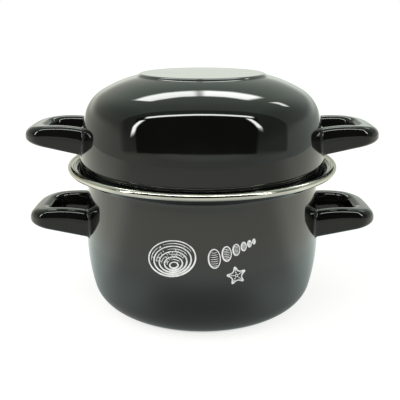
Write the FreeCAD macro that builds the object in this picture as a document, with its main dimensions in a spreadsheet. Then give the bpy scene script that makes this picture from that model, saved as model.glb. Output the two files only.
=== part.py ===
import FreeCAD, Part
import math
import os
import Sketcher

os.makedirs("parts", exist_ok=True)
doc = FreeCAD.newDocument("mussel_pot")
Vec = FreeCAD.Vector

# Driving sizes in millimetres and degrees, with heights from the base
DRIVING = (
    ("rim_across", 250.0, "outside of the steel trim"),
    ("trim_tall", 6.0, "height of the rounded bead of the trim"),
    ("trim_foot", 1.0, "width of the flat foot on the inside of the trim"),
    ("trim_gauge", 0.6, "steel of the trim"),
    ("trim_play", 0.4, "gap between the turned-out edge and the bead"),
    ("steel", 1.2, "enamelled sheet of pot and lid"),
    ("base_to_rim", 132.5, "base to the middle of the trim"),
    ("belly_inset", 14.1, "outside of the trim to the widest of the belly"),
    ("belly_height", 65.7, "height of the widest part"),
    ("lower_bow", 202.0, "radius of the wall below the widest part"),
    ("upper_bow", 360.0, "radius of the wall above the widest part"),
    ("base_corner", 26.0, "radius between base and wall"),
    ("neck_turn", 3.0, "radius in the neck"),
    ("shoulder_slope", 30.0, "slope of the shoulder that the lid rests on"),
    ("cup_corner", 3.0, "radius between shoulder and rim wall"),
    ("cup_wall", 0.9, "straight part of the rim wall"),
    ("edge_turn", 1.0, "radius of the turned-out edge"),
    ("lid_play", 0.7, "gap round the lip of the lid"),
    ("lid_seat", 0.1, "gap under the lip of the lid"),
    ("lip_flare", 12.0, "radius of the flared lip"),
    ("lid_wall", 5.0, "straight upright part of the lid's wall"),
    ("lid_bow", 135.0, "radius of the lid's side above it"),
    ("lid_rise", 83.2, "top of the lid above the middle of the trim"),
    ("lid_shoulder", 34.3, "radius of the lid's shoulder"),
    ("dome_bow", 114.3, "radius of the dome between shoulder and flat top"),
    ("dome_drop", 13.4, "slope of the dome next to the top"),
    ("top_across", 109.6, "flat top of the lid"),
    ("top_edge", 5.0, "radius at the edge of the flat top"),
    ("step_slope", 42.0, "steepest part of the step down from the flat top"),
    ("step_turn", 6.0, "radius at the foot of that step"),
    ("handle_past_rim", 38.1, "nose of a handle beyond the trim"),
    ("handle_gauge", 1.2, "steel of the handles"),
    ("handle_wide", 83.0, "across a handle at its root"),
    ("handle_limb", 17.5, "width of one limb"),
    ("handle_bar", 20.5, "width of the bar at the nose"),
    ("handle_lean", 5.6, "how far the limbs close in towards the nose"),
    ("handle_tall", 22.9, "height of a handle at its root"),
    ("nose_tall", 10.8, "height of a handle at its nose"),
    ("nose_up", 11.4, "rise of the underside from the root to the nose"),
    ("handle_crown", 140.0, "radius of the top of a handle along its length"),
    ("nose_round", 165.0, "radius of the nose seen from above"),
    ("nose_corner", 22.5, "radius of the outer corners seen from above"),
    ("hole_corner", 10.0, "radius of the corners of the finger hole"),
    ("handle_edge", 7.0, "rounding along the upper edges of a handle"),
    ("under_edge", 3.4, "rounding along its lower edges"),
    ("handle_turn_in", 5.6, "steel turned in along the open underside"),
    ("lid_handle_tilt", 1.7, "upward tilt of the lid's handles"),
    ("lid_handle_in", 0.9, "how much closer the lid's handles stand"),
    ("print_thick", 0.2, "thickness of the print on the belly"),
    ("print_line", 1.0, "width of its lines"),
    ("clam_out", 24.5, "middle of the print to the middle of the clam"),
    ("clam_up", 77.0, "height of the middle of the clam"),
    ("clam_across", 40.0, "width of the clam"),
    ("clam_tall", 31.0, "height of the clam"),
    ("clam_tilt", 16.0, "turn of the clam"),
    ("clam_crowding", 8.5, "room for the growth lines at the beak"),
    ("turret_out", 24.0, "middle of the print to the middle of the turret shell"),
    ("turret_up", 83.0, "height of the middle of the turret shell"),
    ("turret_long", 42.0, "length of the turret shell"),
    ("turret_wide", 17.0, "widest whorl of the turret shell"),
    ("turret_tilt", 20.0, "rise of the turret shell"),
    ("whorl_shrink", 0.78, "each whorl compared with the one before"),
    ("whorl_fill", 0.88, "thickness of a whorl compared with its room"),
    ("whorl_lean", 74.0, "lean of the whorls against the length of the shell"),
    ("star_out", 28.0, "middle of the print to the middle of the starfish"),
    ("star_up", 62.0, "height of the middle of the starfish"),
    ("star_across", 19.0, "width of the starfish"),
    ("star_notch", 0.42, "notches between the arms compared with the tips"),
    ("star_tilt", 11.0, "turn of the starfish"),
    ("pot_handle_up", 68.3, "underside of the pot's handles"),
    ("lid_handle_up", 8.7, "underside of the lid's handles above the middle of the trim, at the axis"),
)

# Sizes that follow from the driving ones
FOLLOWING = (
    ("rim_r", "rim_across / 2"),
    ("belly_r", "rim_r - belly_inset"),
    ("half_steel", "steel / 2"),
    ("bead_r", "trim_tall / 2"),
    ("bead_mid", "rim_r - bead_r"),
    ("foot_top", "half_steel + trim_gauge"),
    ("foot_outer", "bead_mid - sqrt(bead_r ^ 2 - foot_top ^ 2)"),
    ("foot_inner", "foot_outer - trim_foot"),
    ("edge_r", "rim_r - trim_gauge - trim_play"),
    ("edge_under", "base_to_rim - half_steel"),
    ("cup_r", "foot_inner - edge_turn"),
    ("corner_r", "cup_r - cup_corner"),
    ("corner_z", "edge_under - edge_turn - cup_wall"),
    ("lip_r", "cup_r - steel - lid_play"),
    ("lip_out", "(lip_r - corner_r) * sin(shoulder_slope * 1 deg)"),
    ("lip_z", "corner_z + (lip_out - cup_corner + steel + lid_seat) / cos(shoulder_slope * 1 deg)"),
    ("lid_top", "base_to_rim + lid_rise"),
    ("top_r", "top_across / 2"),
    ("nose_x", "rim_r + handle_past_rim"),
    ("nose_mid", "nose_x - nose_round"),
    ("hole_end", "nose_x - handle_bar"),
    ("root_x", "belly_r - handle_limb"),
    ("root_y", "handle_wide / 2"),
    ("crown_run", "nose_x - root_x"),
    ("crown_fall", "handle_tall - nose_up - nose_tall"),
    ("crown_chord", "sqrt(crown_run ^ 2 + crown_fall ^ 2)"),
    ("crown_deep", "sqrt(handle_crown ^ 2 - crown_chord ^ 2 / 4)"),
    ("crown_x", "root_x + crown_run / 2 - crown_deep * crown_fall / crown_chord"),
    ("crown_sink", "crown_deep * crown_run / crown_chord - handle_tall + crown_fall / 2"),
    ("crown_top", "handle_crown - crown_sink"),
    ("rise_long", "sqrt(crown_run ^ 2 + nose_up ^ 2)"),
    ("lid_handle_z", "base_to_rim + lid_handle_up"),
)

sheet = doc.addObject("Spreadsheet::Sheet", "Sizes")


def write_sheet():
    """Writes every size into the sheet under its own name."""
    row = 0
    for name, value, note in DRIVING:
        row += 1
        sheet.set(f"A{row}", name)
        sheet.set(f"B{row}", str(value))
        sheet.set(f"C{row}", note)
        sheet.setAlias(f"B{row}", name)
    for name, formula in FOLLOWING:
        row += 1
        sheet.set(f"A{row}", name)
        sheet.set(f"B{row}", "=" + formula)
        sheet.setAlias(f"B{row}", name)
    doc.recompute()


class Size:
    """A number together with the words that make it from the sheet."""

    def __init__(self, value, words):
        self.value = value
        self.words = words

    def __add__(self, other):
        return Size(self.value + other.value, f"({self.words} + {other.words})")

    def __sub__(self, other):
        return Size(self.value - other.value, f"({self.words} - {other.words})")

    def __mul__(self, other):
        return Size(self.value * other.value, f"({self.words} * {other.words})")

    def __truediv__(self, other):
        return Size(self.value / other.value, f"({self.words} / {other.words})")

    def cosine(self):
        return Size(math.cos(math.radians(self.value)), f"cos({self.words} * 1 deg)")


ONE = Size(1.0, "1")
NOTHING = Size(0.0, "0")


def size(name):
    return Size(float(sheet.get(name)), "Sizes." + name)


def much(name):
    return size(name).value


def point_at(centre, angle, distance):
    """The point that lies at an angle and a distance from a centre."""
    turn = math.radians(angle)
    return (centre[0] + distance * math.cos(turn), centre[1] + distance * math.sin(turn))


def angle_to(start, end):
    return math.degrees(math.atan2(end[1] - start[1], end[0] - start[0]))


class Outline:
    """A chain of lines and arcs in one sketch, each joined to the one before."""

    def __init__(self, sketch):
        self.sketch = sketch
        self.ends = []

    def line(self, start, end, smooth=True):
        self.sketch.addGeometry(Part.LineSegment(Vec(*start, 0), Vec(*end, 0)))
        return self.join(1, 2, smooth)

    def arc(self, centre, radius, start, end, smooth=True):
        """An arc from one angle to another; a falling angle runs clockwise."""
        circle = Part.Circle(Vec(*centre, 0), Vec(0, 0, 1), radius)
        low = math.radians(min(start, end))
        high = math.radians(max(start, end))
        self.sketch.addGeometry(Part.ArcOfCircle(circle, low, high))
        if end > start:
            return self.join(1, 2, smooth)
        return self.join(2, 1, smooth)

    def join(self, start, end, smooth):
        index = len(self.ends)
        if self.ends:
            last, _, last_end = self.ends[-1]
            kind = "Tangent" if smooth else "Coincident"
            self.hold(kind, last, last_end, index, start)
        self.ends.append((index, start, end))
        return index

    def close(self):
        first, first_start, _ = self.ends[0]
        last, _, last_end = self.ends[-1]
        self.hold("Coincident", last, last_end, first, first_start)

    def hold(self, kind, *places):
        self.sketch.addConstraint(Sketcher.Constraint(kind, *places))

    def fix(self, kind, *places):
        """Ties a length, radius or angle to a size of the sheet, given last."""
        wanted = places[-1]
        value = wanted.value
        words = wanted.words
        if kind == "Angle":
            value = math.radians(value)
            words = f"({words}) * 1 deg"
        places = (*places[:-1], value)
        number = self.sketch.addConstraint(Sketcher.Constraint(kind, *places))
        self.sketch.renameConstraint(number, f"tie_{number}")
        self.sketch.setExpression(f"Constraints.tie_{number}", words)

    def start_of(self, index):
        return (index, self.ends[index][1])

    def end_of(self, index):
        return (index, self.ends[index][2])

    def place_x(self, spot, wanted):
        self.fix("DistanceX", -1, 1, *spot, wanted)

    def place_y(self, spot, wanted):
        self.fix("DistanceY", -1, 1, *spot, wanted)


def upright_sketch(name):
    """A sketch that stands on its own, with the axis of the pot up its middle."""
    sketch = doc.addObject("Sketcher::SketchObject", name)
    sketch.Placement = FreeCAD.Placement(Vec(0, 0, 0), FreeCAD.Rotation(Vec(1, 0, 0), 90))
    return sketch


def pot_outline(name, filled=False):
    """The outside of the pot from the middle of its base to its turned-out edge."""
    outline = Outline(upright_sketch(name))
    belly = (much("belly_r"), much("belly_height"))
    lower = (belly[0] - much("lower_bow"), belly[1])
    upper = (belly[0] - much("upper_bow"), belly[1])
    slope = much("shoulder_slope")
    turn = much("base_corner")
    reach = much("lower_bow") - turn
    base = (lower[0] + math.sqrt(reach ** 2 - (turn - lower[1]) ** 2), turn)
    low_angle = angle_to(lower, base)
    corner = (much("corner_r"), much("corner_z"))
    shoulder_end = point_at(corner, slope - 90, much("cup_corner"))
    far = point_at(shoulder_end, slope - 90, much("neck_turn"))
    gap = (far[0] - upper[0], far[1] - upper[1])
    along = gap[0] * math.cos(math.radians(slope)) + gap[1] * math.sin(math.radians(slope))
    limit = much("upper_bow") + much("neck_turn")
    back = along - math.sqrt(along ** 2 - gap[0] ** 2 - gap[1] ** 2 + limit ** 2)
    neck = point_at(far, slope, -back)
    neck_angle = angle_to(upper, neck)
    edge = (much("cup_r") + much("edge_turn"), much("edge_under") - much("edge_turn"))

    floor = outline.line((0, 0), (base[0], 0))
    base_arc = outline.arc(base, turn, -90, low_angle)
    lower_arc = outline.arc(lower, much("lower_bow"), low_angle, 0)
    upper_arc = outline.arc(upper, much("upper_bow"), 0, neck_angle)
    neck_arc = outline.arc(neck, much("neck_turn"), neck_angle + 180, slope + 90)
    shoulder = outline.line(point_at(neck, slope + 90, much("neck_turn")), shoulder_end)
    corner_arc = outline.arc(corner, much("cup_corner"), slope - 90, 0)
    cup = outline.line((much("cup_r"), corner[1]), (much("cup_r"), edge[1]))
    edge_arc = outline.arc(edge, much("edge_turn"), 180, 90)
    lip = outline.line((edge[0], much("edge_under")), (much("edge_r"), much("edge_under")))

    outline.hold("Coincident", *outline.start_of(floor), -1, 1)
    outline.hold("Horizontal", floor)
    outline.fix("Radius", base_arc, size("base_corner"))
    outline.fix("Radius", lower_arc, size("lower_bow"))
    outline.fix("Radius", upper_arc, size("upper_bow"))
    outline.fix("Radius", neck_arc, size("neck_turn"))
    outline.fix("Radius", corner_arc, size("cup_corner"))
    outline.fix("Radius", edge_arc, size("edge_turn"))
    outline.place_x(outline.end_of(lower_arc), size("belly_r"))
    outline.place_y(outline.end_of(lower_arc), size("belly_height"))
    outline.place_y((lower_arc, 3), size("belly_height"))
    outline.fix("Angle", shoulder, size("shoulder_slope"))
    outline.hold("Vertical", cup)
    outline.fix("Distance", cup, size("cup_wall"))
    outline.place_x(outline.start_of(cup), size("cup_r"))
    outline.hold("Horizontal", lip)
    outline.place_x(outline.end_of(lip), size("edge_r"))
    outline.place_y(outline.end_of(lip), size("edge_under"))
    if filled:
        cover = outline.line((much("edge_r"), much("edge_under")), (0, much("edge_under")), smooth=False)
        outline.line((0, much("edge_under")), (0, 0), smooth=False)
        outline.close()
        outline.hold("Horizontal", cover)
        outline.hold("PointOnObject", *outline.end_of(cover), -2)
    return outline.sketch


def inside_both(first, first_r, second, second_r, radius):
    """The middle of an arc of this radius that touches two larger arcs from the inside."""
    gap = math.dist(first, second)
    near = first_r - radius
    along = (near ** 2 - (second_r - radius) ** 2 + gap ** 2) / (2 * gap)
    aside = math.sqrt(near ** 2 - along ** 2)
    way = angle_to(first, second)
    return point_at(point_at(first, way, along), way + 90, aside)


def lid_outline(name, filled=False):
    """The outside of the lid from its flared lip to the middle of its flat top."""
    outline = Outline(upright_sketch(name))
    slope = much("shoulder_slope")
    lip = (much("lip_r"), much("lip_z"))
    flare = point_at(lip, slope, much("lip_flare"))
    wall_foot = (flare[0] - much("lip_flare"), flare[1])
    wall_head = (wall_foot[0], wall_foot[1] + much("lid_wall"))
    side = (wall_head[0] - much("lid_bow"), wall_head[1])
    drop = 90 - much("dome_drop")
    steep = 90 - much("step_slope")
    top_edge = (much("top_r"), much("lid_top") - much("top_edge"))
    step = point_at(top_edge, steep, much("top_edge") + much("step_turn"))
    dome = point_at(step, drop, -much("step_turn") - much("dome_bow"))
    shoulder = inside_both(side, much("lid_bow"), dome, much("dome_bow"), much("lid_shoulder"))
    side_angle = angle_to(side, shoulder)
    round_angle = angle_to(dome, shoulder)

    flare_arc = outline.arc(flare, much("lip_flare"), slope + 180, 180)
    wall = outline.line(wall_foot, wall_head)
    side_arc = outline.arc(side, much("lid_bow"), 0, side_angle)
    round_arc = outline.arc(shoulder, much("lid_shoulder"), side_angle, round_angle)
    dome_arc = outline.arc(dome, much("dome_bow"), round_angle, drop)
    step_arc = outline.arc(step, much("step_turn"), drop + 180, steep + 180)
    edge_arc = outline.arc(top_edge, much("top_edge"), steep, 90)
    top = outline.line((top_edge[0], much("lid_top")), (0, much("lid_top")))

    outline.fix("Radius", flare_arc, size("lip_flare"))
    outline.fix("Radius", side_arc, size("lid_bow"))
    outline.fix("Radius", round_arc, size("lid_shoulder"))
    outline.fix("Radius", dome_arc, size("dome_bow"))
    outline.fix("Radius", edge_arc, size("top_edge"))
    outline.place_x(outline.start_of(flare_arc), size("lip_r"))
    outline.place_y(outline.start_of(flare_arc), size("lip_z"))
    outline.fix("Angle", flare_arc, size("shoulder_slope"))
    outline.hold("Vertical", wall)
    outline.fix("Distance", wall, size("lid_wall"))
    outline.fix("Radius", step_arc, size("step_turn"))
    outline.fix("Angle", step_arc, size("step_slope") - size("dome_drop"))
    outline.fix("Angle", edge_arc, size("step_slope"))
    outline.place_x(outline.start_of(top), size("top_r"))
    outline.hold("Horizontal", top)
    outline.place_y(outline.end_of(top), size("lid_top"))
    outline.hold("PointOnObject", *outline.end_of(top), -2)
    if filled:
        axis = outline.line((0, much("lid_top")), (0, much("lip_z")), smooth=False)
        floor = outline.line((0, much("lip_z")), (much("lip_r"), much("lip_z")), smooth=False)
        outline.close()
        outline.hold("Vertical", axis)
        outline.hold("Horizontal", floor)
    return outline.sketch


def trim_outline(name):
    """The section of the trim: a bead whose two feet close on the edge of the pot."""
    outline = Outline(upright_sketch(name))
    middle = (much("bead_mid"), much("base_to_rim"))
    foot = much("foot_top")
    inside = much("half_steel")
    bead = much("bead_r")
    hollow = bead - much("trim_gauge")
    outer_x = much("foot_outer")
    inner_x = middle[0] - math.sqrt(hollow ** 2 - inside ** 2)
    end_x = much("foot_inner")
    outer_turn = angle_to(middle, (outer_x, middle[1] + foot))
    inner_turn = angle_to(middle, (inner_x, middle[1] + inside))

    top_foot = outline.line((end_x, middle[1] + foot), (outer_x, middle[1] + foot))
    bead_arc = outline.arc(middle, bead, outer_turn, -outer_turn, smooth=False)
    low_foot = outline.line((outer_x, middle[1] - foot), (end_x, middle[1] - foot), smooth=False)
    low_end = outline.line((end_x, middle[1] - foot), (end_x, middle[1] - inside), smooth=False)
    low_seat = outline.line((end_x, middle[1] - inside), (inner_x, middle[1] - inside), smooth=False)
    hollow_arc = outline.arc(middle, hollow, -inner_turn, inner_turn, smooth=False)
    top_seat = outline.line((inner_x, middle[1] + inside), (end_x, middle[1] + inside), smooth=False)
    top_end = outline.line((end_x, middle[1] + inside), (end_x, middle[1] + foot), smooth=False)
    outline.close()

    for level in (top_foot, low_foot, low_seat, top_seat):
        outline.hold("Horizontal", level)
    outline.hold("Vertical", low_end)
    outline.hold("Vertical", top_end)
    outline.hold("Coincident", bead_arc, 3, hollow_arc, 3)
    outline.place_x((bead_arc, 3), size("bead_mid"))
    outline.place_y((bead_arc, 3), size("base_to_rim"))
    outline.fix("Radius", bead_arc, size("bead_r"))
    outline.fix("Radius", hollow_arc, size("bead_r") - size("trim_gauge"))
    outline.place_x(outline.start_of(top_foot), size("foot_inner"))
    outline.place_x(outline.start_of(low_end), size("foot_inner"))
    outline.place_y(outline.start_of(top_foot), size("base_to_rim") + size("foot_top"))
    outline.place_y(outline.start_of(low_end), size("base_to_rim") - size("foot_top"))
    outline.place_y(outline.start_of(low_seat), size("base_to_rim") - size("half_steel"))
    outline.place_y(outline.start_of(top_seat), size("base_to_rim") + size("half_steel"))
    return outline.sketch


def turned(name, profile):
    """A solid turned round the axis of the pot."""
    solid = doc.addObject("Part::Revolution", name)
    solid.Source = profile
    solid.Axis = Vec(0, 0, 1)
    solid.Base = Vec(0, 0, 0)
    solid.Angle = 360
    solid.Solid = True
    return solid


def sheet_of(name, profile, thickness):
    """A strip of even thickness along an open outline; a minus sign swaps its side."""
    strip = doc.addObject("Part::Offset2D", name)
    strip.Source = profile
    strip.Mode = "Skin"
    strip.Fill = True
    strip.setExpression("Value", thickness.words)
    return strip


def plane_of(body, role):
    for feature in body.Origin.OriginFeatures:
        if feature.Role == role:
            return feature
    raise ValueError(role)


def body_sketch(body, name, role, up=None):
    """A sketch on one of the body's own planes, raised by a size where one is given."""
    sketch = body.newObject("Sketcher::SketchObject", name)
    sketch.AttachmentSupport = (plane_of(body, role), [""])
    sketch.MapMode = "FlatFace"
    if up is not None:
        sketch.AttachmentOffset = FreeCAD.Placement(Vec(0, 0, up.value), FreeCAD.Rotation())
        sketch.setExpression("AttachmentOffset.Base.z", up.words)
    return sketch


def loop_plan(sketch, inset):
    """A handle seen from above: two leaning limbs, a rounded nose and a finger hole.

    The inset draws every side in by the same amount, towards the middle of the steel.
    """
    outline = Outline(sketch)
    lean = much("handle_lean")
    inward = inset.value
    root_x = much("root_x")
    root_y = much("root_y") - inward / math.cos(math.radians(lean))
    inner_y = much("root_y") - (much("handle_limb") - inward) / math.cos(math.radians(lean))
    nose = (much("nose_mid"), 0)
    nose_r = much("nose_round") - inward
    corner_r = much("nose_corner") - inward
    hole_r = much("hole_corner") + inward
    hole_x = much("hole_end") + inward

    track = point_at((root_x, much("root_y")), -lean - 90, much("nose_corner"))
    gap = (track[0] - nose[0], track[1])
    tilt = math.radians(-lean)
    along = gap[0] * math.cos(tilt) + gap[1] * math.sin(tilt)
    limit = much("nose_round") - much("nose_corner")
    run = math.sqrt(along ** 2 - gap[0] ** 2 - gap[1] ** 2 + limit ** 2) - along
    corner = point_at(track, -lean, run)
    nose_angle = angle_to(nose, corner)
    corner_start = point_at(corner, 90 - lean, corner_r)
    hole_line = inner_y - (hole_x - hole_r - root_x) * math.tan(math.radians(lean))
    hole = (hole_x - hole_r, hole_line - hole_r / math.cos(math.radians(lean)))
    hole_start = point_at(hole, 90 - lean, hole_r)

    def low(point):
        return (point[0], -point[1])

    outer_up = outline.line((root_x, root_y), corner_start)
    corner_up = outline.arc(corner, corner_r, 90 - lean, nose_angle)
    nose_arc = outline.arc(nose, nose_r, nose_angle, -nose_angle)
    corner_low = outline.arc(low(corner), corner_r, -nose_angle, lean - 90)
    outer_low = outline.line(low(corner_start), (root_x, -root_y))
    root_low = outline.line((root_x, -root_y), (root_x, -inner_y), smooth=False)
    inner_low = outline.line((root_x, -inner_y), low(hole_start), smooth=False)
    hole_low = outline.arc(low(hole), hole_r, lean - 90, 0)
    hole_side = outline.line((hole_x, -hole[1]), (hole_x, hole[1]))
    hole_up = outline.arc(hole, hole_r, 0, 90 - lean)
    inner_up = outline.line(hole_start, (root_x, inner_y))
    root_up = outline.line((root_x, inner_y), (root_x, root_y), smooth=False)
    outline.close()

    thick = inset / size("handle_lean").cosine()
    limb = size("handle_limb") / size("handle_lean").cosine()
    for upright in (root_low, hole_side, root_up):
        outline.hold("Vertical", upright)
    for corner_arc in (corner_up, corner_low):
        outline.fix("Radius", corner_arc, size("nose_corner") - inset)
    for hole_arc in (hole_low, hole_up):
        outline.fix("Radius", hole_arc, size("hole_corner") + inset)
    for root in (outline.end_of(outer_low), outline.start_of(inner_low)):
        outline.fix("Angle", -1, 1, *root, size("handle_lean"))
    for root in (outline.start_of(outer_up), outline.end_of(inner_up)):
        outline.fix("Angle", *root, -1, 1, size("handle_lean"))
    outline.fix("Radius", nose_arc, size("nose_round") - inset)
    outline.hold("PointOnObject", nose_arc, 3, -1)
    outline.place_x((nose_arc, 3), size("nose_mid"))
    outline.place_x(outline.start_of(hole_side), size("hole_end") + inset)
    outline.place_x(outline.start_of(root_low), size("root_x"))
    outline.place_x(outline.start_of(root_up), size("root_x"))
    outline.place_y(outline.start_of(outer_up), size("root_y") - thick)
    outline.place_y(outline.end_of(inner_up), size("root_y") - limb + thick)
    outline.fix("DistanceY", *outline.end_of(outer_low), -1, 1, size("root_y") - thick)
    outline.fix("DistanceY", *outline.start_of(inner_low), -1, 1, size("root_y") - limb + thick)


def crown_cut(sketch, inset):
    """The space above a handle, whose top bows down from the root to the nose."""
    outline = Outline(sketch)
    one = ONE
    middle = (much("crown_x"), -much("crown_sink"))
    radius = much("handle_crown") - inset.value
    left = much("root_x") - one.value
    right = much("nose_x") + one.value
    top = much("crown_top") + 2 * one.value
    left_angle = math.degrees(math.acos((left - middle[0]) / radius))
    right_angle = math.degrees(math.acos((right - middle[0]) / radius))
    crown = outline.arc(middle, radius, left_angle, right_angle)
    right_side = outline.line(point_at(middle, right_angle, radius), (right, top), smooth=False)
    cover = outline.line((right, top), (left, top), smooth=False)
    left_side = outline.line((left, top), point_at(middle, left_angle, radius), smooth=False)
    outline.close()
    outline.hold("Vertical", right_side)
    outline.hold("Horizontal", cover)
    outline.hold("Vertical", left_side)
    outline.fix("Radius", crown, size("handle_crown") - inset)
    outline.place_x((crown, 3), size("crown_x"))
    outline.fix("DistanceY", crown, 3, -1, 1, size("crown_sink"))
    outline.place_x(outline.start_of(left_side), size("root_x") - one)
    outline.place_x(outline.start_of(cover), size("nose_x") + one)
    outline.place_y(outline.start_of(cover), size("crown_top") + one + one)


def under_cut(sketch, inset):
    """The space below a handle, whose underside rises from the root to the nose."""
    outline = Outline(sketch)
    run = size("crown_run")
    low = inset * size("rise_long") / run
    high = low + size("nose_up") * (run + ONE) / run
    left = much("root_x")
    right = much("nose_x") + ONE.value
    floor = -ONE.value
    under = outline.line((left, low.value), (right, high.value))
    right_side = outline.line((right, high.value), (right, floor), smooth=False)
    bottom = outline.line((right, floor), (left, floor), smooth=False)
    left_side = outline.line((left, floor), (left, low.value), smooth=False)
    outline.close()
    outline.hold("Vertical", right_side)
    outline.hold("Horizontal", bottom)
    outline.hold("Vertical", left_side)
    outline.place_x(outline.start_of(under), size("root_x"))
    outline.place_x(outline.end_of(under), size("nose_x") + ONE)
    outline.place_y(outline.start_of(under), low)
    outline.place_y(outline.end_of(under), high)
    outline.fix("DistanceY", *outline.start_of(bottom), -1, 1, ONE)


def rounded_loop(name, inset):
    """A whole handle form with rounded edges, smaller all round by the inset."""
    body = doc.addObject("PartDesign::Body", name)
    plan = body_sketch(body, name + "_plan", "XY_Plane")
    loop_plan(plan, inset)
    doc.recompute()
    pad = body.newObject("PartDesign::Pad", name + "_pad")
    pad.Profile = plan
    pad.setExpression("Length", (size("crown_top") + ONE).words)
    doc.recompute()
    for part, draw in (("crown", crown_cut), ("under", under_cut)):
        side = body_sketch(body, f"{name}_{part}_side", "XZ_Plane")
        draw(side, inset)
        doc.recompute()
        pocket = body.newObject("PartDesign::Pocket", f"{name}_{part}")
        pocket.Profile = side
        pocket.Type = "ThroughAll"
        pocket.Midplane = True
        doc.recompute()
    rounded = pocket
    for under, radius in ((False, size("handle_edge")), (True, size("under_edge"))):
        edges = long_edges(rounded.Shape, inset, under)
        fillet = body.newObject("PartDesign::Fillet", name + ("_round_under" if under else "_round"))
        fillet.Base = (rounded, edges)
        fillet.setExpression("Radius", (radius - inset).words)
        doc.recompute()
        rounded = fillet
    return body


def long_edges(shape, inset, under):
    """Names of the edges that run along a handle, either round its underside or round its top."""
    slope = much("nose_up") / much("crown_run")
    low = inset.value * much("rise_long") / much("crown_run")
    slight = much("steel") / 10
    names = []
    for number, edge in enumerate(shape.Edges, 1):
        box = edge.BoundBox
        upright = max(box.XLength, box.YLength) < slight
        at_root = box.XMax < much("root_x") + slight
        ends = [vertex.Point for vertex in edge.Vertexes]
        below = all(abs(end.z - low - slope * (end.x - much("root_x"))) < slight for end in ends)
        if not upright and not at_root and below == under:
            names.append(f"Edge{number}")
    return names


def underside_slot(name):
    """The opening along the underside, between the edges that are turned in."""
    body = doc.addObject("PartDesign::Body", name)
    plan = body_sketch(body, name + "_plan", "XY_Plane", up=NOTHING - size("handle_gauge"))
    loop_plan(plan, size("handle_turn_in"))
    doc.recompute()
    pad = body.newObject("PartDesign::Pad", name + "_pad")
    pad.Profile = plan
    pad.setExpression("Length", (size("nose_up") + size("handle_gauge") + size("handle_gauge") + ONE).words)
    doc.recompute()
    return body


def ring(wire_at, line):
    """A line of even width round a closed curve."""
    return Part.Face(wire_at(0)).cut(Part.Face(wire_at(line)))


def oval(middle, long, wide, tilt):
    """A curve-maker for an oval that stands upright in front of the belly."""
    def wire_at(inset):
        ellipse = Part.Ellipse(Vec(0, 0, 0), long / 2 - inset, wide / 2 - inset)
        wire = Part.Wire(ellipse.toShape())
        wire.Placement = in_front(middle, tilt)
        return wire
    return wire_at


def star(middle, tilt):
    """A curve-maker for a starfish with straight arms."""
    arms = 5
    tips = much("star_across") / 2
    notches = tips * much("star_notch")

    def wire_at(inset):
        points = []
        for step in range(arms + 1):
            angle = 90 + 360 * step / arms
            points.append(Vec(*point_at((0, 0), angle, tips - 2 * inset), 0))
            if step < arms:
                points.append(Vec(*point_at((0, 0), angle + 180 / arms, notches - inset), 0))
        wire = Part.makePolygon(points)
        wire.Placement = in_front(middle, tilt)
        return wire
    return wire_at


def in_front(middle, tilt):
    """The place of a flat drawing in front of the pot, turned by its tilt."""
    facing = FreeCAD.Rotation(Vec(1, 0, 0), 90)
    turn = FreeCAD.Rotation(Vec(0, 0, 1), tilt)
    return FreeCAD.Placement(Vec(middle[0], -much("rim_r"), middle[1]), facing.multiply(turn))


def clam(middle, tilt):
    """A shell drawn as growth lines that crowd together towards its beak."""
    rings = []
    count = 5
    for step in range(count):
        share = 1 - step / count
        back = (1 - share) * (much("clam_tall") / 2 - much("clam_crowding"))
        place = point_at(middle, tilt - 90, back)
        shape = oval(place, share * much("clam_across"), share * much("clam_tall"), tilt)
        rings.append(ring(shape, much("print_line")))
    return rings


def turret(middle, tilt):
    """A long coiled shell drawn as leaning whorls that shrink evenly to its tip."""
    rings = []
    count = 6
    shrink = much("whorl_shrink")
    total = sum(shrink ** step for step in range(count))
    place = point_at(middle, tilt, -much("turret_long") / 2)
    for step in range(count):
        deep = much("turret_long") / total * shrink ** step
        wide = much("turret_wide") * shrink ** step
        whorl = oval(point_at(place, tilt, deep / 2), wide, deep * much("whorl_fill"), tilt + much("whorl_lean"))
        rings.append(ring(whorl, much("print_line")))
        place = point_at(place, tilt, deep)
    return rings


def print_marks():
    """The drawing on the belly, as upright prisms that reach through its front."""
    marks = clam((-much("clam_out"), much("clam_up")), much("clam_tilt"))
    marks += turret((much("turret_out"), much("turret_up")), much("turret_tilt"))
    marks.append(ring(star((much("star_out"), much("star_up")), much("star_tilt")), much("print_line")))
    prisms = [mark.extrude(Vec(0, much("rim_r") / 2, 0)) for mark in marks]
    return Part.makeCompound(prisms)


write_sheet()
pot_body = turned("pot_body", sheet_of("pot_strip", pot_outline("pot_line"), size("steel")))
lid_shell = turned("lid_shell", sheet_of("lid_strip", lid_outline("lid_line"), NOTHING - size("steel")))
rim_trim = turned("rim_trim", trim_outline("trim_line"))
pot_filled = turned("pot_filled", pot_outline("pot_round", filled=True))
lid_filled = turned("lid_filled", lid_outline("lid_round", filled=True))
skin = rounded_loop("handle_skin", NOTHING)
core = rounded_loop("handle_core", size("handle_gauge"))
slot = underside_slot("handle_slot")
hollow = doc.addObject("Part::MultiFuse", "handle_hollow")
hollow.Shapes = [core, slot]
form = doc.addObject("Part::Cut", "handle_form")
form.Base = skin
form.Tool = hollow
doc.recompute()


def handle(name, wall, turn, height, tilt=NOTHING, shift=NOTHING):
    """One handle, turned to its side and cut to the curve of the wall."""
    link = doc.addObject("App::Link", name + "_place")
    link.LinkedObject = form
    side = math.cos(math.radians(turn))
    place = Vec(-side * shift.value, 0, height.value)
    link.Placement = FreeCAD.Placement(place, FreeCAD.Rotation(turn, -tilt.value, 0))
    link.setExpression("Placement.Base.z", height.words)
    cut = doc.addObject("Part::Cut", name)
    cut.Base = link
    cut.Tool = wall
    return cut


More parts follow.
